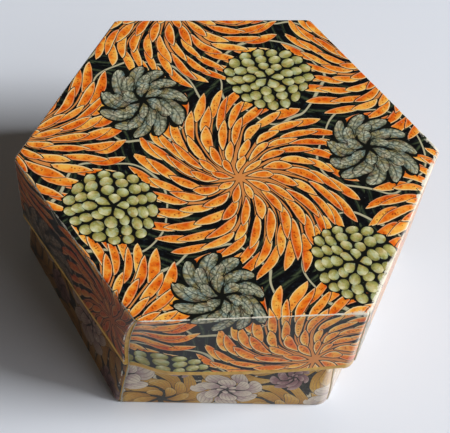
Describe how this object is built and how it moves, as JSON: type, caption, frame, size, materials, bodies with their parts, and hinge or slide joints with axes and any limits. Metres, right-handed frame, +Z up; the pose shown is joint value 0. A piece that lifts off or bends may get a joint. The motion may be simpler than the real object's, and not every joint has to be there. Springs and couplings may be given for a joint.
{
  "type": "hexagonal folded card gift box",
  "caption": "Hexagonal gift box of folded card: a tray base with glued corner tabs and a slip-over lid that lifts off.",
  "frame": {"origin": "centre of the base's underside", "axes": "+Z up, along the way the lid lifts; +X out through an upright corner of the base; -Y out through its front wall"},
  "size_m": [0.1186, 0.1068, 0.0499],
  "materials": {
    "base_card": "satin",
    "lid_card": "satin"
  },
  "bodies": {
    "base": {"base": "base_card"},
    "lid": {"lid": "lid_card"}
  },
  "joints": [
    {"name": "lid_lift", "type": "slide", "parent": "base", "child": "lid", "axis": [0, 0, 1], "range_m": [0, 0.06]}
  ]
}
